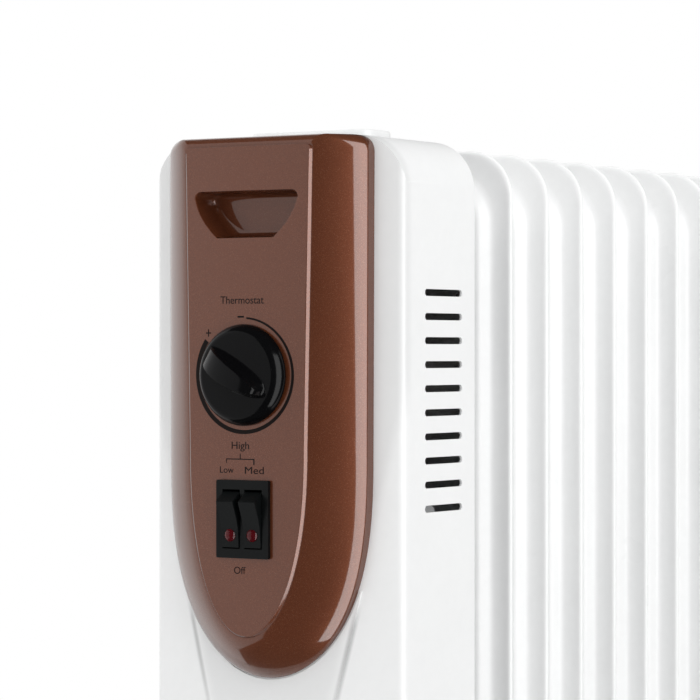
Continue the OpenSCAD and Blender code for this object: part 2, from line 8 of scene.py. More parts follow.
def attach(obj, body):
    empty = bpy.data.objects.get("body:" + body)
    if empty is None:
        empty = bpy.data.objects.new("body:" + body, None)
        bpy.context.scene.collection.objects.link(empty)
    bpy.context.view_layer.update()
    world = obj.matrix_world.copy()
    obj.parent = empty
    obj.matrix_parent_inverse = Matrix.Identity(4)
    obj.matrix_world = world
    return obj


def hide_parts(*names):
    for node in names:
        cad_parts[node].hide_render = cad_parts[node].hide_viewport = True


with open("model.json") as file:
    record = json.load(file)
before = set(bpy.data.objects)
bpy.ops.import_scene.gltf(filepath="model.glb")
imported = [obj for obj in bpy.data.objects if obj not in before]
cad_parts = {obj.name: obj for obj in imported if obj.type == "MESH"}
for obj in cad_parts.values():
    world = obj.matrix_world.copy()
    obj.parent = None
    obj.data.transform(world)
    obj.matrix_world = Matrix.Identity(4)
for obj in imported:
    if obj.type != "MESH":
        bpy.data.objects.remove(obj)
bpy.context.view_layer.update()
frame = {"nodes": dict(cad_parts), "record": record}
NODES = frame["nodes"]


scene = bpy.context.scene

# ---------------------------------------------------------------- frame
# The design's own sizes, in millimetres. v runs along the fins from the first fin.
Y0 = 116.5
FIN_N, PITCH, FIN_W, FIN_H, FIN_Z0 = 11, 36.0, 140.0, 575.0, 55.0
HUB_LO, HUB_HI = 92.5, 592.5
FRONT, BACK, TOP, HZ0 = -105.0, -36.0, 632.4, 62.0
PANEL_Y, FACE_Y = -123.6, -125.0
BOW_R = 315.0
BEZEL_Y = -126.8
KNOB_Z, SWITCH_Z = 523.0, 457.4


def P(x, v, z):
    return Vector((x * 0.001, (v - Y0) * 0.001, z * 0.001))


def bow(x):
    """How far the housing's bowed front falls back at x."""
    return BOW_R - math.sqrt(BOW_R * BOW_R - x * x)


# ---------------------------------------------------------------- materials
def nodes_of(mat):
    mat.use_nodes = True
    nt = mat.node_tree
    nt.nodes.clear()
    out = nt.nodes.new("ShaderNodeOutputMaterial")
    bsdf = nt.nodes.new("ShaderNodeBsdfPrincipled")
    nt.links.new(bsdf.outputs["BSDF"], out.inputs["Surface"])
    return nt, bsdf


def noise(nt, scale, detail=3.0, rough=0.55, stretch=None):
    tc = nt.nodes.new("ShaderNodeTexCoord")
    src = tc.outputs["Object"]
    if stretch:
        mp = nt.nodes.new("ShaderNodeMapping")
        mp.inputs["Scale"].default_value = stretch
        nt.links.new(src, mp.inputs["Vector"])
        src = mp.outputs["Vector"]
    n = nt.nodes.new("ShaderNodeTexNoise")
    n.inputs["Scale"].default_value = scale
    n.inputs["Detail"].default_value = detail
    n.inputs["Roughness"].default_value = rough
    nt.links.new(src, n.inputs["Vector"])
    return n


def ramp(nt, src, stops):
    r = nt.nodes.new("ShaderNodeValToRGB")
    els = r.color_ramp.elements
    els[0].position, els[0].color = stops[0][0], (*stops[0][1], 1)
    els[1].position, els[1].color = stops[-1][0], (*stops[-1][1], 1)
    for p, c in stops[1:-1]:
        e = els.new(p)
        e.color = (*c, 1)
    nt.links.new(src, r.inputs["Fac"])
    return r


def span(nt, src, lo, hi, a=0.3, b=0.7):
    m = nt.nodes.new("ShaderNodeMapRange")
    m.inputs["From Min"].default_value = a
    m.inputs["From Max"].default_value = b
    m.inputs["To Min"].default_value = lo
    m.inputs["To Max"].default_value = hi
    nt.links.new(src, m.inputs["Value"])
    return m


def bump(nt, bsdf, src, strength, dist, prev=None):
    b = nt.nodes.new("ShaderNodeBump")
    b.inputs["Strength"].default_value = strength
    b.inputs["Distance"].default_value = dist
    nt.links.new(src, b.inputs["Height"])
    if prev is not None:
        nt.links.new(prev.outputs["Normal"], b.inputs["Normal"])
    nt.links.new(b.outputs["Normal"], bsdf.inputs["Normal"])
    return b


def finish_of(name, base, vary, rough, rough_vary=0.06, metallic=0.0, spec=0.5, coat=0.0, coat_rough=0.05,
              grain=None, wave=None, patch=18.0, stretch=None, transmission=0.0, ior=1.5):
    """A finish with large-scale colour drift, fine mottling, uneven roughness and surface relief."""
    mat = bpy.data.materials.new(name)
    nt, bsdf = nodes_of(mat)
    drift = noise(nt, patch, 4.0, 0.6)
    fine = noise(nt, patch * 22, 3.0, 0.6, stretch)
    lo = tuple(max(0.0, c * (1 - vary)) for c in base)
    hi = tuple(min(1.0, c * (1 + vary * 0.6)) for c in base)
    r1 = ramp(nt, drift.outputs["Fac"], [(0.3, lo), (0.7, hi)])
    mix = nt.nodes.new("ShaderNodeMix")
    mix.data_type = "RGBA"
    mix.blend_type = "MULTIPLY"
    mix.inputs[0].default_value = 0.6
    r2 = ramp(nt, fine.outputs["Fac"], [(0.35, (1 - vary, 1 - vary, 1 - vary)), (0.65, (1, 1, 1))])
    nt.links.new(r1.outputs["Color"], mix.inputs[6])
    nt.links.new(r2.outputs["Color"], mix.inputs[7])
    nt.links.new(mix.outputs[2], bsdf.inputs["Base Color"])
    rr = span(nt, drift.outputs["Fac"], max(0.02, rough - rough_vary), min(1, rough + rough_vary))
    nt.links.new(rr.outputs["Result"], bsdf.inputs["Roughness"])
    bsdf.inputs["Metallic"].default_value = metallic
    bsdf.inputs["Specular IOR Level"].default_value = spec
    bsdf.inputs["Coat Weight"].default_value = coat
    bsdf.inputs["Coat Roughness"].default_value = coat_rough
    bsdf.inputs["Transmission Weight"].default_value = transmission
    bsdf.inputs["IOR"].default_value = ior
    prev = None
    if wave:
        w = noise(nt, wave[0], 2.0, 0.5)
        prev = bump(nt, bsdf, w.outputs["Fac"], wave[1], wave[2])
    if grain:
        g = noise(nt, grain[0], 2.0, 0.6, stretch)
        bump(nt, bsdf, g.outputs["Fac"], grain[1], grain[2], prev)
    return mat


def metallic_lacquer(name, base, flake, rough, coat, coat_rough, metallic=0.3, spec=0.6, cells=5200.0):
    """Lacquer with fine aluminium flake: each flake has its own brightness and its own tilt."""
    mat = bpy.data.materials.new(name)
    nt, bsdf = nodes_of(mat)
    tc = nt.nodes.new("ShaderNodeTexCoord")
    vor = nt.nodes.new("ShaderNodeTexVoronoi")
    vor.inputs["Scale"].default_value = cells
    nt.links.new(tc.outputs["Object"], vor.inputs["Vector"])
    sep = nt.nodes.new("ShaderNodeSeparateColor")
    nt.links.new(vor.outputs["Color"], sep.inputs["Color"])
    dark = tuple(c * 0.80 for c in base)
    mid = tuple(min(1, c * 0.87 + f * 0.13) for c, f in zip(base, flake))
    r1 = ramp(nt, sep.outputs["Red"], [(0.0, dark), (0.70, base), (0.93, tuple(min(1, c * 1.18) for c in base)), (1.0, mid)])
    drift = noise(nt, 14.0, 3.0, 0.5)
    r2 = ramp(nt, drift.outputs["Fac"], [(0.3, (0.95, 0.95, 0.95)), (0.7, (1, 1, 1))])
    mix = nt.nodes.new("ShaderNodeMix")
    mix.data_type = "RGBA"
    mix.blend_type = "MULTIPLY"
    mix.inputs[0].default_value = 1.0
    nt.links.new(r1.outputs["Color"], mix.inputs[6])
    nt.links.new(r2.outputs["Color"], mix.inputs[7])
    nt.links.new(mix.outputs[2], bsdf.inputs["Base Color"])
    rr = span(nt, drift.outputs["Fac"], rough - 0.03, rough + 0.03)
    nt.links.new(rr.outputs["Result"], bsdf.inputs["Roughness"])
    bsdf.inputs["Metallic"].default_value = metallic
    bsdf.inputs["Specular IOR Level"].default_value = spec
    bsdf.inputs["Coat Weight"].default_value = coat
    bsdf.inputs["Coat Roughness"].default_value = coat_rough
    b1 = bump(nt, bsdf, sep.outputs["Green"], 0.15, 0.00003)
    peel = noise(nt, 420.0, 2.0, 0.5)
    bump(nt, bsdf, peel.outputs["Fac"], 0.05, 0.00008, b1)
    return mat


M = {}
M["housing"] = finish_of("housing_enamel", (0.86, 0.865, 0.865), 0.02, 0.36, 0.04, spec=0.3, coat=0.0, coat_rough=0.2,
                         grain=(900.0, 0.16, 0.00010), wave=(9.0, 0.10, 0.0012), patch=9.0)


def painted_crease_shade(mat):
    """Painted shade: darkens the base colour along the two pressed creases that run together below the control panel,
    with a fainter painted shadow on the tongue between them.
    """
    nt = mat.node_tree
    bsdf = next(n for n in nt.nodes if n.type == "BSDF_PRINCIPLED")
    old = bsdf.inputs["Base Color"].links[0].from_socket
    tc = nt.nodes.new("ShaderNodeTexCoord")
    sep = nt.nodes.new("ShaderNodeSeparateXYZ")
    nt.links.new(tc.outputs["Object"], sep.inputs[0])

    def m(op, a, b=None, c=None):
        n = nt.nodes.new("ShaderNodeMath")
        n.operation = op
        for i, v in enumerate((a, b, c)):
            if v is None:
                continue
            if isinstance(v, (int, float)):
                n.inputs[i].default_value = v
            else:
                nt.links.new(v, n.inputs[i])
        return n.outputs[0]

    def smooth(v, a, b, lo, hi):
        n = nt.nodes.new("ShaderNodeMapRange")
        n.interpolation_type = "SMOOTHSTEP"
        for i, k in enumerate((a, b, lo, hi)):
            n.inputs[i + 1].default_value = k
        nt.links.new(v, n.inputs[0])
        return n.outputs["Result"]

    # distance from the crease, which leans in by 0.258 as it goes down
    edge = m("MULTIPLY_ADD", sep.outputs["Z"], 0.2578, 0.0485 - 0.2578 * 0.425)
    side = m("MULTIPLY", m("SUBTRACT", m("ABSOLUTE", sep.outputs["X"]), edge), 0.968)
    d = m("ABSOLUTE", side)
    # painted shade: up to 36% darker within about 2 mm of each crease line
    shade_near_crease = smooth(d, 0.0002, 0.0024, 0.36, 0.0)
    low = m("MULTIPLY", smooth(sep.outputs["Z"], 0.342, 0.400, 0.0, 1.0), smooth(sep.outputs["Z"], 0.406, 0.422, 1.0, 0.0))
    front = smooth(sep.outputs["Y"], -0.212, -0.206, 1.0, 0.0)
    # painted shadow: the tongue between the creases is up to 10% darker, fading out downwards
    shadow_inside_creases = m("MULTIPLY", smooth(side, -0.006, 0.001, 0.10, 0.0), smooth(sep.outputs["Z"], 0.290, 0.390, 0.0, 1.0))
    # the painted shade multiplies the base colour, on the front face only
    dark = m("SUBTRACT", 1.0, m("MULTIPLY", m("MAXIMUM", m("MULTIPLY", shade_near_crease, low), shadow_inside_creases), front))
    comb = nt.nodes.new("ShaderNodeCombineColor")
    for i in range(3):
        nt.links.new(dark, comb.inputs[i])
    mix = nt.nodes.new("ShaderNodeMix")
    mix.data_type = "RGBA"
    mix.blend_type = "MULTIPLY"
    mix.inputs[0].default_value = 1.0
    nt.links.new(old, mix.inputs[6])
    nt.links.new(comb.outputs[0], mix.inputs[7])
    nt.links.new(mix.outputs[2], bsdf.inputs["Base Color"])


# paints shade along the housing's creases into its base colour
painted_crease_shade(M["housing"])
M["enamel"] = finish_of("radiator_enamel", (0.90, 0.905, 0.905), 0.022, 0.32, 0.05, spec=0.2, coat=0.0, coat_rough=0.1,
                        grain=(650.0, 0.12, 0.00010), wave=(16.0, 0.18, 0.0012), patch=11.0)
M["copper"] = metallic_lacquer("copper_lacquer", (0.130, 0.036, 0.014), (0.62, 0.36, 0.24), 0.36, 1.0, 0.06, spec=0.1)
M["inlay"] = metallic_lacquer("inlay_lacquer", (0.130, 0.036, 0.014), (0.62, 0.36, 0.24), 0.36, 1.0, 0.12, spec=0.1)
M["black_gloss"] = finish_of("black_gloss_moulding", (0.012, 0.012, 0.013), 0.25, 0.16, 0.04, spec=0.55, coat=0.5,
                             coat_rough=0.06, grain=(1400.0, 0.06, 0.00004), patch=30.0)
M["knob"] = finish_of("knob_black", (0.0030, 0.0030, 0.0034), 0.2, 0.14, 0.03, spec=0.10, grain=(1400.0, 0.05, 0.00004), patch=30.0)
M["black_satin"] = finish_of("black_satin_moulding", (0.0052, 0.0062, 0.0064), 0.25, 0.33, 0.05, spec=0.12,
                             grain=(2200.0, 0.18, 0.00005), patch=30.0)
M["red"] = finish_of("red_lens_plastic", (0.105, 0.0035, 0.007), 0.25, 0.12, 0.03, spec=0.12, coat=0.0, coat_rough=0.05,
                     grain=(900.0, 0.05, 0.00006), patch=60.0, transmission=0.35)
M["zinc"] = finish_of("zinc_plated_steel", (0.62, 0.63, 0.64), 0.12, 0.28, 0.08, metallic=1.0,
                      grain=(1600.0, 0.12, 0.00004), patch=40.0)
M["galv"] = finish_of("galvanised_sheet", (0.60, 0.61, 0.62), 0.16, 0.40, 0.10, metallic=0.9,
                      grain=(500.0, 0.12, 0.00006), patch=26.0)
M["sheath"] = finish_of("element_sheath_steel", (0.16, 0.15, 0.14), 0.25, 0.45, 0.08, metallic=0.8,
                        grain=(800.0, 0.12, 0.00006), patch=30.0)
M["brass"] = finish_of("brass_parts", (0.62, 0.44, 0.18), 0.15, 0.30, 0.06, metallic=1.0,
                       grain=(1300.0, 0.10, 0.00004), patch=40.0)
M["ivory"] = finish_of("ivory_insulator", (0.62, 0.58, 0.48), 0.08, 0.48, 0.06, grain=(1200.0, 0.15, 0.00006), patch=30.0)
M["wire"] = finish_of("wire_sleeve", (0.035, 0.035, 0.038), 0.2, 0.5, 0.06, grain=(900.0, 0.15, 0.00006), patch=40.0)
M["glass"] = finish_of("lamp_glass", (0.85, 0.45, 0.28), 0.1, 0.08, 0.02, transmission=0.8, patch=60.0)
M["castor"] = finish_of("castor_moulding", (0.020, 0.020, 0.021), 0.25, 0.42, 0.07, grain=(1500.0, 0.2, 0.00006), patch=30.0)
M["tread"] = finish_of("castor_tread", (0.034, 0.034, 0.035), 0.35, 0.58, 0.10, grain=(700.0, 0.3, 0.00010), patch=24.0)
M["ink"] = finish_of("legend_ink", (0.010, 0.006, 0.005), 0.2, 0.45, 0.05, spec=0.08, grain=(2500.0, 0.2, 0.00002), patch=60.0)

CAD_FINISH = {}
for n in NODES:
    if n.startswith("fin_") or n in ("foot_front", "foot_rear"):
        CAD_FINISH[n] = "enamel"
    elif n in ("housing_cover", "top_cap", "housing_bottom"):
        CAD_FINISH[n] = "housing"
    elif n in ("back_plate", "element_flange", "back_plate_spacers"):
        CAD_FINISH[n] = "galv"
    elif n.startswith("heating_element"):
        CAD_FINISH[n] = "sheath"
    elif n == "control_panel":
        CAD_FINISH[n] = "copper"
    elif n == "panel_inlay":
        CAD_FINISH[n] = "inlay"
    elif n == "thermostat_knob":
        CAD_FINISH[n] = "black_gloss"
    elif n.startswith("rocker") or n in ("switch_frame", "cord_gland"):
        CAD_FINISH[n] = "black_satin"
    elif n.startswith("lamp_lens"):
        CAD_FINISH[n] = "red"
    elif n == "neon_lamps":
        CAD_FINISH[n] = "glass"
    elif n in ("bimetal_strip", "thermostat_bush", "element_terminals", "switch_terminals"):
        CAD_FINISH[n] = "brass"
    elif n in ("thermostat_body", "tilt_switch_frame", "thermal_cutout", "terminal_block"):
        CAD_FINISH[n] = "ivory"
    elif n == "internal_wires":
        CAD_FINISH[n] = "wire"
    elif n.endswith("_fork"):
        CAD_FINISH[n] = "castor"
    elif n.endswith("_wheels"):
        CAD_FINISH[n] = "tread"
    else:
        CAD_FINISH[n] = "zinc"
SLOT = {s["node"]: s["material_slot"] for s in frame["record"]["subparts"]}
for n, o in NODES.items():
    o.data.materials.clear()
    o.data.materials.append(M[CAD_FINISH[n]])


# ---------------------------------------------------------------- mesh helpers
def make(name, verts, faces, mat, body="root", smooth=True, replaces=(), slot=None, angle=None):
    me = bpy.data.meshes.new(name)
    me.from_pydata([tuple(v) for v in verts], [], faces)
    me.validate()
    me.update()
    if smooth:
        me.polygons.foreach_set("use_smooth", [True] * len(me.polygons))
        if angle is not None:
            me.set_sharp_from_angle(angle=math.radians(angle))
    o = bpy.data.objects.new(name, me)
    scene.collection.objects.link(o)
    me.materials.append(M[mat])
    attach(o, body)
    if replaces:
        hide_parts(*replaces)
        slot = slot or SLOT[replaces[0]]
    return o


class Build:
    """Collects rings of points and the faces between them."""

    def __init__(self):
        self.v, self.f = [], []

    def ring(self, pts):
        i = len(self.v)
        self.v.extend(pts)
        return list(range(i, i + len(pts)))

    def bridge(self, a, b, closed=True, flip=False):
        n = len(a)
        for i in range(n if closed else n - 1):
            j = (i + 1) % n
            q = [a[i], a[j], b[j], b[i]]
            self.f.append(q[::-1] if flip else q)

    def cap(self, ring, flip=False):
        self.f.append(ring[::-1] if flip else list(ring))

    def loft(self, rings, cap0=False, cap1=False, flip=False):
        ids = [self.ring(r) for r in rings]
        for a, b in zip(ids, ids[1:]):
            self.bridge(a, b, True, flip)
        if cap0:
            self.cap(ids[0], not flip)
        if cap1:
            self.cap(ids[-1], flip)
        return ids


def rr_pts(hw, z0, z1, r, n=12):
    """Rounded rectangle in X and Z, anticlockwise seen from the front."""
    pts = []
    for cx, cz, a0 in ((hw - r, z1 - r, 0), (-hw + r, z1 - r, 90), (-hw + r, z0 + r, 180), (hw - r, z0 + r, 270)):
        for i in range(n + 1):
            a = math.radians(a0 + 90 * i / n)
            pts.append((cx + r * math.cos(a), cz + r * math.sin(a)))
    return pts


def along(pts, v):
    return [P(x, v, z) for x, z in pts]


def revolve_y(b, prof, cx, cz, v0, sign=1, n=48, cap=False, close_in=False):
    """Revolves (radius, height) pairs about an axis along Y through (cx, cz)."""
    rings = [[P(cx + r * math.cos(2 * math.pi * i / n), v0 + sign * h, cz + r * math.sin(2 * math.pi * i / n)) for i in range(n)] for r, h in prof]
    return b.loft(rings, cap0=close_in, cap1=cap, flip=sign > 0)


def offset_loop(pts, d, share=None):
    """Moves a closed loop d towards its left side, as one walks along it. share(x, z) scales the distance."""
    n = len(pts)
    out = []
    for i in range(n):
        x0, z0 = pts[i - 1]
        x1, z1 = pts[i]
        x2, z2 = pts[(i + 1) % n]
        ax, az = x1 - x0, z1 - z0
        bx, bz = x2 - x1, z2 - z1
        la, lb = math.hypot(ax, az) or 1, math.hypot(bx, bz) or 1
        nx, nz = -(az / la + bz / lb), ax / la + bx / lb
        ln = math.hypot(nx, nz) or 1
        nx, nz = nx / ln, nz / ln
        c = max(0.45, nx * (-az / la) + nz * (ax / la))
        k = d / c * (share(x1, z1) if share else 1.0)
        out.append((x1 + nx * k, z1 + nz * k))
    return out


def area2(pts):
    return sum(pts[i - 1][0] * pts[i][1] - pts[i][0] * pts[i - 1][1] for i in range(len(pts)))


def plate(name, loops, v_back, mat, body="root", replaces=(), slot=None, angle=35, share=None, bend=False):
    """A flat plate with holes. Each loop comes with its edge, as pairs of inset and v, from back to front."""
    from mathutils.geometry import tessellate_polygon

    b = Build()
    fronts, backs = [], []
    for k, (pts, edge) in enumerate(loops):
        want = 1 if k == 0 else -1
        if area2(pts) * want < 0:
            pts = pts[::-1]
        rings = []
        for inset, v in [(edge[0][0], v_back)] + list(edge):
            ring = offset_loop(pts, inset, share if k == 0 else None) if inset else pts
            rings.append((ring, b.ring(along(ring, v))))
        for (_, p), (_, q) in zip(rings, rings[1:]):
            b.bridge(p, q, True, False)
        backs.append(rings[0])
        fronts.append(rings[-1])
    for group, flip in ((fronts, False), (backs, True)):
        flat = [i for _, ids in group for i in ids]
        for t in tessellate_polygon([[Vector((x, z, 0)) for x, z in ring] for ring, _ in group]):
            b.f.append([flat[i] for i in (t[::-1] if flip else t)])
    o = make(name, b.v, b.f, mat, body, True, replaces, slot)
    if bend:
        follow_bow(o)
    tidy(o, angle)
    return o


def follow_bow(o, step=2.0, reach=36.0):
    """Cuts a flat piece into upright strips and bends it to the bowed front."""
    import bmesh

    bm = bmesh.new()
    bm.from_mesh(o.data)
    bmesh.ops.remove_doubles(bm, verts=bm.verts, dist=1e-7)
    x = -reach
    while x <= reach:
        bmesh.ops.bisect_plane(bm, geom=bm.verts[:] + bm.edges[:] + bm.faces[:], dist=1e-7, plane_co=(x * 0.001, 0, 0), plane_no=(1, 0, 0))
        x += step
    for v in bm.verts:
        v.co.y += bow(v.co.x * 1000) * 0.001
    bm.to_mesh(o.data)
    bm.free()


def tidy(o, angle=35, weighted=True):
    import bmesh

    me = o.data
    bm = bmesh.new()
    bm.from_mesh(me)
    bmesh.ops.remove_doubles(bm, verts=bm.verts, dist=1e-7)
    bmesh.ops.recalc_face_normals(bm, faces=bm.faces)
    bm.to_mesh(me)
    bm.free()
    me.polygons.foreach_set("use_smooth", [True] * len(me.polygons))
    me.set_sharp_from_angle(angle=math.radians(angle))
    if weighted:
        wn = o.modifiers.new("even_normals", "WEIGHTED_NORMAL")
        wn.keep_sharp = True
        wn.weight = 80
    return o


def soften(node, width, seg=2, angle=28, weld=0.01):
    """Rounds the edges of a carried-over piece."""
    o = NODES[node]
    w = o.modifiers.new("weld", "WELD")
    w.merge_threshold = weld * 0.001
    bv = o.modifiers.new("round_edges", "BEVEL")
    bv.width = width * 0.001
    bv.segments = seg
    bv.limit_method = "ANGLE"
    bv.angle_limit = math.radians(angle)
    bv.miter_outer = "MITER_ARC"
    bv.use_clamp_overlap = True
    bv.harden_normals = False
    wn = o.modifiers.new("even_normals", "WEIGHTED_NORMAL")
    wn.keep_sharp = False
    wn.weight = 80
    return o


# ---------------------------------------------------------------- fins
RIM = [(0.25, 0.75), (0.9, 1.2), (1.9, 1.25), (3.2, 0.95), (6.0, 0.82), (9.0, 0.9), (10.6, 1.5), (11.9, 3.1),
       (13.1, 5.6), (14.6, 7.5), (16.8, 8.45), (20.0, 8.7)]
WEB = [(9.0, 8.7), (6.0, 8.45), (3.4, 7.4), (1.4, 5.2), (0.0, 2.9), (-1.8, 1.4), (-4.5, 0.95), (-9.0, 0.9)]


def fin(i):
    b = Build()
    v0 = i * PITCH
    first, last = i == 0, i == FIN_N - 1

    def outer(d):
        r = 23.0 if d < 13 else 23.0 - (d - 13) * 0.3
        return rr_pts(FIN_W / 2 - d, FIN_Z0 + d, FIN_Z0 + FIN_H - d, r)

    def slot(g):
        return rr_pts(16 + g, HUB_LO + 42 - g, HUB_HI - 42 + g, 12 + g)

    edge = b.ring(along(outer(0.0), v0))
    for s in (-1, 1):
        prev = edge
        for d, h in RIM:
            cur = b.ring(along(outer(d), v0 + s * h))
            b.bridge(prev, cur, True, flip=s > 0)
            prev = cur
        for g, h in WEB:
            cur = b.ring(along(slot(g), v0 + s * h))
            b.bridge(prev, cur, True, flip=s > 0)
            prev = cur
        b.cap(prev, flip=s > 0)
        for z in (HUB_LO, HUB_HI):
            if last and s > 0:
                continue
            reach = 18.0
            if first and s < 0:
                reach = 34.0 if z == HUB_LO else 18.0
            prof = [(32.0, 8.62), (28.5, 8.75), (25.5, 9.3), (23.2, 10.6), (21.8, 12.6), (21.1, 15.2), (21.0, reach - 1.4),
                    (21.5, reach - 0.9), (21.6, reach - 0.1), (18.0, reach)]
            revolve_y(b, prof, 0, z, v0, s, cap=True)
    if last:
        revolve_y(b, [(15.0, 8.6), (12.6, 8.8), (11.3, 9.5), (11.0, 11.0), (9.0, 11.05)], 0, HUB_HI, v0, 1, cap=True)
    return make(f"radiator_fin_{i + 1:02d}", b.v, b.f, "enamel", replaces=(f"fin_{i + 1:02d}",), angle=50)


for i in range(FIN_N):
    fin(i)


# ---------------------------------------------------------------- control panel
RIM_W, INLAY_W = 54.2, 32.4


def edge_x(z, k, g=0.0):
    zs = 490.0
    zb = (1 - k) * 403 + k * 383.5 - g
    w = (1 - k) * INLAY_W + k * RIM_W + g
    n = (1 - k) * 2.3 + k * 2.8
    t = min(1.0, max(0.0, (zs - z) / (zs - zb)))
    taper = max(0.0, z - zs) * ((1 - k) * 0.019 + k * 0.004)
    return (w + taper) * math.sqrt(max(0.0, 1 - t ** n))


def tongue(k, g=0.0, top=None, rc=None, nlow=44):
    """Half outline from the top centre down the right side, then mirrored: the same count for every k."""
    zt = (TOP - 0.4 + g) if top is None else top
    rc = (2 + 5.5 * k) if rc is None else rc
    zb = (1 - k) * 403 + k * 383.5 - g
    right = []
    for i in range(9):
        a = math.radians(90 - 90 * i / 8)
        z = zt - rc + rc * math.sin(a)
        right.append((edge_x(zt - rc, k, g) - rc + rc * math.cos(a), z))
    for i in range(1, 13):
        z = zt - rc + (490 - (zt - rc)) * i / 12
        right.append((edge_x(z, k, g), z))
    for i in range(1, nlow + 1):
        a = math.pi / 2 * i / nlow
        z = 490 - (490 - zb) * math.sin(a) ** 0.9
        right.append((edge_x(z, k, g), z))
    right[-1] = (0.0, zb)
    left = [(-x, z) for x, z in right[-2::-1]]
    return right + left


def bowed(pts, v, share=1.0):
    """A loop at v that follows the bowed front."""
    return [P(x, v + bow(x) * share, z) for x, z in pts]


DEPTH, ROUND = 18.6, 4.6


def top_at(depth, base=None):
    """The top edge rolls over towards the face."""
    base = TOP - 0.4 if base is None else base
    t = max(0.0, (depth - (DEPTH - ROUND)) / ROUND)
    return base - ROUND * (1 - math.sqrt(max(0.0, 1 - t * t)))


b = Build()
rings = []
# the rim stands on the housing, then the flank turns in along a flattened quarter ellipse
rings.append([P(x, FRONT + bow(x) - 0.05, z) for x, z in tongue(1.0, -0.3)])
rings.append([P(x, FRONT + bow(x) - 0.45, z) for x, z in tongue(1.0, 0.0)])
N = 34
for i in range(0, N + 1):
    a = math.radians(90.0 * i / N)
    k = math.cos(a) ** 1.5 if i < N else 0.0
    d = 0.8 + 17.8 * math.sin(a) ** 1.5
    rings.append(bowed(tongue(k, 0.0, top=top_at(d)), FRONT - d, (d - 0.8) / 17.8))
rings.append(bowed(tongue(0.0, -5.0, top=TOP - 10), PANEL_Y))
rings.append(bowed(tongue(0.0, -5.0, top=TOP - 10), PANEL_Y + 2.3))
for i in range(12, -1, -1):
    a = math.radians(90.0 * i / 12)
    k = math.cos(a) ** 1.5 if i < 12 else 0.0
    d = 16.2 * math.sin(a) ** 1.5
    fade = max(0.0, 1 - d / 6.0, (d - 6.0) / 10.2)
    rings.append([P(x, FRONT - 0.05 - d + bow(x) * fade, z) for x, z in tongue(k, -2.5, top=TOP - 3.0 - max(0.0, d - 10) * 0.6)])
ids = b.loft(rings, flip=False)
b.bridge(ids[-1], ids[0], True, False)


# pocket of the grip recess: rounded lip, curved sides, flat floor
def grip_pts(g, n=14):
    zt, zb = 606.9 + g, 585.6 - g
    pts = []
    rc = 3.2
    xt = 28.0 + g
    for i in range(7):
        a = math.radians(90 - 90 * i / 6)
        pts.append((xt - rc + rc * math.cos(a), zt - rc + rc * math.sin(a)))
    for i in range(1, n + 1):
        t = i / n
        z = (zt - rc) + (zb - (zt - rc)) * t
        tt = (zt - z) / (zt - zb)
        x = 15.3 + g + 12.7 * (1 - tt * tt)
        pts.append((x, z))
    left = [(-x, z) for x, z in pts[::-1]]
    return pts + left


pocket = []
for g, v in ((-1.6, FACE_Y + 17.4), (1.2, FACE_Y + 16.6), (2.2, FACE_Y + 13.0), (2.4, FACE_Y + 1.6), (0.35, FACE_Y + 1.45), (0.0, FACE_Y + 1.2),
             (-0.25, FACE_Y + 6.0), (-0.6, FACE_Y + 11.6), (-1.0, FACE_Y + 13.6), (-1.7, FACE_Y + 14.9), (-2.8, FACE_Y + 15.7), (-4.2, FACE_Y + 15.95)):
    pocket.append(bowed(grip_pts(g), v, max(0.0, 1 - (v - FACE_Y - 1.2) / 14.0)))
b.loft(pocket, cap0=True, cap1=True, flip=False)
tidy(make("control_panel_shell", b.v, b.f, "copper", replaces=("control_panel",)), 50)


def circle_pts(cx, cz, r, n=64):
    return [(cx + r * math.cos(2 * math.pi * i / n), cz + r * math.sin(2 * math.pi * i / n)) for i in range(n)]


def rect_pts(cx, cz, w, h, r=0.5, n=4):
    return [(cx + x, cz + z) for x, z in rr_pts(w / 2, -h / 2, h / 2, r, n)]


def hole_edge(r=0.45):
    return [(0.0, PANEL_Y - 0.1), (0.0, FACE_Y + r), (r * 0.29, FACE_Y + r * 0.29), (r, FACE_Y)]


def bevel_share(x, z):
    """The bevel runs out towards the top edge and thins towards the tip."""
    up = min(1.0, max(0.0, (TOP - 6.2 - z) / 1.5))
    low = min(1.0, max(0.0, (z - 400.0) / 45.0))
    return (0.12 + 0.88 * up * (0.55 + 0.45 * low)) * (1.0 if x > 0 else 1.5)


# the raised face: a straight bevel all round, then a small radius into the flat
plate("panel_face_inlay",
      [(tongue(0.0, -0.15, top=TOP - 5.0, rc=2.6), [(0.0, PANEL_Y - 0.02), (0.05, PANEL_Y - 0.12), (0.95, FACE_Y + 0.10), (1.04, FACE_Y + 0.03), (1.20, FACE_Y)]),
       (grip_pts(0.0), hole_edge(0.5)),
       (circle_pts(0, KNOB_Z, 5.4), hole_edge(0.2)),
       (rect_pts(0, SWITCH_Z, 26.6, 33.8), hole_edge(0.2))],
      PANEL_Y, "inlay", replaces=("panel_inlay",), share=bevel_share, bend=True)

# ---------------------------------------------------------------- printed marks
INK_V = FACE_Y - 0.06


def ink_strip(name, pts):
    """A printed mark with its outline in X and Z."""
    if area2(pts) < 0:
        pts = pts[::-1]
    b = Build()
    f, k = b.ring(along(pts, INK_V)), b.ring(along(pts, FACE_Y + 0.03))
    b.bridge(k, f, True, False)
    from mathutils.geometry import tessellate_polygon

    for t in tessellate_polygon([[Vector((x, z, 0)) for x, z in pts]]):
        b.f.append([f[i] for i in t])
        b.f.append([k[i] for i in t[::-1]])
    o = make(name, b.v, b.f, "ink", smooth=False, slot="black_moulding")
    follow_bow(o)
    return tidy(o, 30, False)


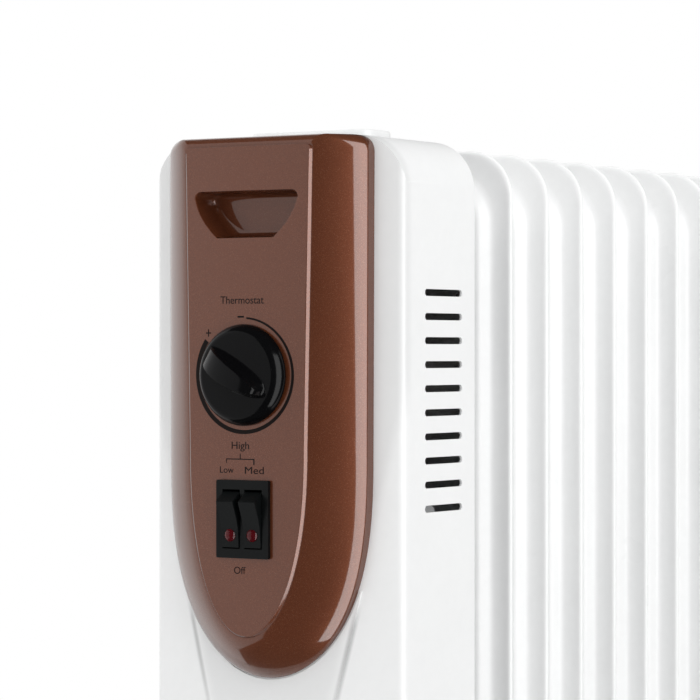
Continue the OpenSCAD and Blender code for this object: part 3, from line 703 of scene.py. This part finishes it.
def letters(text):
    cu = bpy.data.curves.new("letters", "FONT")
    cu.body = text
    cu.size = 1.0
    cu.extrude = 0.01
    cu.resolution_u = 6
    tmp = bpy.data.objects.new("letters", cu)
    scene.collection.objects.link(tmp)
    bpy.context.view_layer.update()
    me = bpy.data.meshes.new_from_object(tmp.evaluated_get(bpy.context.evaluated_depsgraph_get()))
    bpy.data.objects.remove(tmp)
    bpy.data.curves.remove(cu)
    return me


cap = letters("H")
CAP = max(v.co.y for v in cap.vertices)


def label(name, text, u0, u1, z, cap_h):
    """A word from u0 to u1, standing on z, with capitals cap_h high."""
    me = letters(text)
    x0, x1 = min(v.co.x for v in me.vertices), max(v.co.x for v in me.vertices)
    for v in me.vertices:
        x = u0 + (v.co.x - x0) / (x1 - x0) * (u1 - u0)
        zz = z + v.co.y * cap_h / CAP
        v.co = P(x, (INK_V if v.co.z > 0 else FACE_Y + 0.03) + bow(x), zz)
    me.materials.clear()
    me.materials.append(M["ink"])
    o = bpy.data.objects.new(name, me)
    scene.collection.objects.link(o)
    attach(o, "root")
    return tidy(o, 30, False)


label("legend_thermostat", "Thermostat", -13.2, 10.6, 555.5, 3.4)
label("legend_high", "High", -6.9, 2.7, 489.3, 3.3)
label("legend_low", "Low", -13.5, -5.8, 478.3, 2.9)
label("legend_med", "Med", 0.4, 10.6, 478.1, 3.2)
label("legend_off", "Off", -5.6, 0.8, 432.4, 3.2)
ink_strip("legend_bracket", [(-10.0, 482.8), (-10.0, 484.9), (-2.35, 484.9), (-2.35, 487.2), (-1.95, 487.2), (-1.95, 484.9), (5.6, 484.9),
                             (5.6, 482.2), (5.0, 482.2), (5.0, 484.45), (-9.65, 484.45), (-9.65, 482.8)])
ink_strip("dial_minus", [(-3.6, 549.15), (-0.1, 549.15), (-0.1, 549.95), (-3.6, 549.95)])
px_, pz_ = -20.1, 542.2
ink_strip("dial_plus", [(px_ + x, pz_ + z) for x, z in ((-1.5, -0.27), (-0.27, -0.27), (-0.27, -1.7), (0.27, -1.7), (0.27, -0.27), (1.5, -0.27),
                                                        (1.5, 0.27), (0.27, 0.27), (0.27, 1.7), (-0.27, 1.7), (-0.27, 0.27), (-1.5, 0.27))])
arc_out, arc_in = [], []
for i in range(121):
    t = i / 120
    a = math.radians(3.4 + (307 - 3.4) * t)
    wd = 0.85 + 1.75 * t
    for r, lst in ((25.95 + wd / 2, arc_out), (25.95 - wd / 2, arc_in)):
        lst.append((-0.3 + r * math.sin(a), KNOB_Z + r * math.cos(a)))
ink_strip("dial_arc", arc_out + arc_in[::-1])

# ---------------------------------------------------------------- knob
b = Build()
KR = 23.2
prof = [(11.2, 4.0), (11.2, 0.45), (KR - 0.9, 0.45), (KR - 0.2, 0.6), (KR, 1.0), (KR - 0.15, 1.8), (KR - 0.5, 2.8), (KR - 1.05, 3.8),
        (KR - 1.75, 4.8), (KR - 2.6, 5.6), (KR - 3.4, 6.1), (19.2, 6.28), (18.95, 6.36), (18.6, 6.42), (17.0, 6.62), (14.0, 6.94), (10.0, 7.25), (5.0, 7.45)]
revolve_y(b, prof, 0, KNOB_Z, FACE_Y, -1, n=128, cap=True, close_in=True)
# leaf-shaped grip: cross-sections along the pointer's line
ang = math.radians(120)
px, pz = math.sin(ang), math.cos(ang)
qx, qz = math.cos(ang), -math.sin(ang)
# (place along the pointer, offset and half width of the top, offset and half width of the foot, height)
LEAF = [(-18.3, 0.2, 3.9, 0.2, 4.6, 0.3), (-17.6, 0.3, 4.1, 0.3, 5.0, 1.3), (-16.0, 0.3, 4.4, 0.4, 5.7, 2.9), (-13.5, 0.3, 4.6, 0.5, 6.4, 4.6),
        (-10.5, 0.4, 4.7, 0.5, 6.9, 6.0), (-7.0, 0.4, 4.7, 0.6, 7.2, 7.1), (-3.0, 0.5, 4.6, 0.5, 7.2, 7.9), (1.0, 0.4, 4.4, 0.3, 6.9, 8.4),
        (5.0, 0.3, 4.1, 0.1, 6.4, 8.7), (8.0, 0.1, 3.6, -0.1, 5.9, 8.6), (10.5, 0.0, 3.0, -0.2, 5.3, 8.1), (12.4, 0.0, 2.4, -0.3, 4.7, 7.5),
        (13.8, 0.0, 1.9, -0.3, 4.1, 6.8), (14.7, 0.0, 1.6, -0.3, 3.6, 6.0), (15.3, 0.0, 1.4, -0.2, 3.2, 4.9), (15.8, 0.1, 1.3, -0.1, 2.8, 3.5),
        (16.2, 0.1, 1.2, 0.0, 2.5, 2.1), (16.6, 0.1, 1.1, 0.0, 2.2, 1.0), (17.3, 0.2, 0.8, 0.1, 1.6, 0.5), (18.3, 0.4, 0.4, 0.4, 0.7, 0.3)]
rings = []
for t, ot, wt, ob, wb, h in LEAF:
    half = [(ob, wb + 0.9, -0.4), (ob, wb + 0.35, 0.04), (ob, wb, 0.22)]
    for j in range(1, 9):
        s_ = j / 9
        m_ = 1 - (1 - s_) ** 1.25
        half.append((ob + (ot - ob) * m_, wb + (wt - wb) * m_, 0.22 + (h - 0.22) * s_ * 0.985))
    half += [(ot, wt - 0.08, h * 0.985), (ot, wt - 0.4, h), (ot, wt * 0.55, h + 0.03), (ot, wt * 0.2, h + 0.05)]
    sec = [(o - w, hh) for o, w, hh in half] + [(o + w, hh) for o, w, hh in half[::-1]]
    rings.append([P(px * t + qx * w, FACE_Y - 7.45 + 1.15 * (t * t + w * w) / 360 - hh, KNOB_Z + pz * t + qz * w) for w, hh in sec])
b.loft(rings, cap0=True, cap1=True, flip=True)
knob = tidy(make("thermostat_dial_knob", b.v, b.f, "knob", body="knob", replaces=("thermostat_knob",)), 42)

# ---------------------------------------------------------------- lamp lenses: low domes, each seated on its rocker
LENS_R, LENS_TOP, LENS_BASE = 2.95, 2.6, 0.95
cap_r = (LENS_R ** 2 + (LENS_TOP - LENS_BASE) ** 2) / (2 * (LENS_TOP - LENS_BASE))
for side, x in (("left", -6.0), ("right", 6.0)):
    b = Build()
    rim_a = math.asin(LENS_R / cap_r)
    prof = [(LENS_R, 0.4)] + [(cap_r * math.sin(rim_a * (1 - i / 10)), LENS_TOP - cap_r + cap_r * math.cos(rim_a * (1 - i / 10))) for i in range(10)]
    revolve_y(b, prof, x, SWITCH_Z - 7.2, BEZEL_Y, -1, n=48, cap=True, close_in=True)
    tidy(make(f"lamp_dome_{side}", b.v, b.f, "red", body=f"rocker_{side}", replaces=(f"lamp_lens_{side}",)), 60)

# ---------------------------------------------------------------- top cap
b = Build()


def plan_rr(x, y0, y1, r, z, n=8):
    cy, hd = (y0 + y1) / 2, (y1 - y0) / 2
    return [P(a, cy + c, z) for a, c in rr_pts(x, -hd, hd, r, n)]


rings = [plan_rr(33.4, -72.9, -47.1, 6.9, TOP + 0.05), plan_rr(33.5, -73.0, -47.0, 7.0, TOP + 0.8), plan_rr(33.5, -73.0, -47.0, 7.0, TOP + 3.3)]
for i in range(1, 6):
    a = math.radians(18 * i)
    ins = 1.6 * (1 - math.cos(a))
    rings.append(plan_rr(33.5 - ins, -73.0 + ins, -47.0 - ins, 7.0 - ins, TOP + 3.3 + 1.5 * math.sin(a)))
rings.append(plan_rr(22.0, -66.0, -54.0, 4.0, TOP + 5.05))
rings.append(plan_rr(9.0, -62.0, -58.0, 1.5, TOP + 5.15))
b.loft(rings, cap0=True, cap1=True, flip=False)
tidy(make("housing_top_cap", b.v, b.f, "housing", replaces=("top_cap",)), 50)

# ---------------------------------------------------------------- carried-over pieces
soften("housing_cover", 0.5, 3, 24)
for n in ("back_plate", "housing_bottom"):
    soften(n, 0.25, 2, 30)
for n in ("switch_frame", "rocker_left", "rocker_right"):
    soften(n, 0.35, 3, 25)
for n in ("foot_front", "foot_rear"):
    soften(n, 0.5, 3, 30)
for n in NODES:
    if n.endswith("_fork") or n.endswith("_wheels"):
        soften(n, 0.5, 3, 30)
for n in ("wing_nuts", "cover_screws", "oil_fill_plug", "cord_gland", "terminal_block", "tilt_switch_frame", "thermostat_body"):
    soften(n, 0.3, 2, 30)

# ---------------------------------------------------------------- camera
cam_data = bpy.data.cameras.new("camera")
cam = bpy.data.objects.new("camera", cam_data)
scene.collection.objects.link(cam)
cam_data.sensor_width = 36.0
cam_data.lens = 3120.0 / 700.0 * 36.0
cam_data.clip_end = 50
cam_data.clip_start = 0.05
cam.location = P(793.4, -1303.8, 534.4)
cam.rotation_euler = (math.radians(90), 0, math.radians(32))
scene.camera = cam

# ---------------------------------------------------------------- light
def area(name, loc, target, size, size_y, power, diffuse=True, glossy=True, color=(1, 1, 1)):
    li = bpy.data.lights.new(name, "AREA")
    li.shape = "RECTANGLE"
    li.size, li.size_y = size, size_y
    li.energy = power
    li.color = color
    o = bpy.data.objects.new(name, li)
    scene.collection.objects.link(o)
    o.location = loc
    o.rotation_euler = (Vector(target) - Vector(loc)).to_track_quat("-Z", "Y").to_euler()
    o.visible_diffuse = diffuse
    o.visible_glossy = glossy
    o.visible_camera = False
    return o


def softbox(name, azimuth, dist, height, width, tall, radiance_d, radiance_g, target=(0.04, -0.2, 0.45), shine_height=None, shine_tall=None):
    """A softbox at an azimuth from the front, given by how bright it looks to matte and to shiny surfaces."""
    a = math.radians(azimuth)

    def at(d, h):
        return (target[0] + d * math.sin(a), target[1] - d * math.cos(a), h)

    if radiance_d:
        area(name + "_matte", at(dist, height), (target[0], target[1], height), width, tall, radiance_d * math.pi * width * tall, True, False)
    if radiance_g:
        h, t = height if shine_height is None else shine_height, tall if shine_tall is None else shine_tall
        area(name + "_shine", at(dist - 0.06, h), (target[0], target[1], h), width, t, radiance_g * math.pi * width * t, False, True)


softbox("key_right", 71, 2.4, 0.75, 1.62, 2.9, 1.5, 0)
softbox("key_band", 71.5, 2.4, 0.75, 1.55, 2.9, 0, 5.4, shine_height=-0.7, shine_tall=6.2)
softbox("fill_left", -85, 2.4, 0.75, 2.2, 2.6, 0.85, 0)
softbox("left_front", -50, 2.4, 0.4, 3.4, 5.0, 0, 0.9)
softbox("left_back", -118, 2.4, 0.4, 2.88, 5.0, 0, 0.95)
area("top_soft", (0.0, -0.1, 2.6), (0, 0, 0.4), 2.2, 2.2, 12, True, False)

w = bpy.data.worlds.new("studio")
scene.world = w
w.use_nodes = True
nt = w.node_tree
nt.nodes.clear()
out = nt.nodes.new("ShaderNodeOutputWorld")
lp = nt.nodes.new("ShaderNodeLightPath")


def backdrop(v):
    bg = nt.nodes.new("ShaderNodeBackground")
    bg.inputs["Color"].default_value = (v, v, v, 1)
    return bg


seen, matte, shine = backdrop(1.0), backdrop(0.84), backdrop(0.08)
m1 = nt.nodes.new("ShaderNodeMixShader")
m2 = nt.nodes.new("ShaderNodeMixShader")
nt.links.new(lp.outputs["Is Glossy Ray"], m1.inputs["Fac"])
nt.links.new(matte.outputs["Background"], m1.inputs[1])
nt.links.new(shine.outputs["Background"], m1.inputs[2])
nt.links.new(lp.outputs["Is Camera Ray"], m2.inputs["Fac"])
nt.links.new(m1.outputs["Shader"], m2.inputs[1])
nt.links.new(seen.outputs["Background"], m2.inputs[2])
nt.links.new(m2.outputs["Shader"], out.inputs["Surface"])
scene.view_settings.view_transform = "Standard"
scene.view_settings.look = "None"

# floor
bm_v, bm_f = [], []
R, n = 1.9, 96
bm_v = [(R * math.cos(2 * math.pi * i / n), R * math.sin(2 * math.pi * i / n), -0.0002) for i in range(n)]
me = bpy.data.meshes.new("studio_floor")
me.from_pydata(bm_v, [], [list(range(n))])
floor = bpy.data.objects.new("studio_floor", me)
scene.collection.objects.link(floor)
me.materials.append(finish_of("studio_floor_paper", (0.84, 0.84, 0.84), 0.01, 0.8, 0.05, spec=0.2, grain=(300.0, 0.05, 0.0001), patch=3.0))
floor.visible_glossy = False
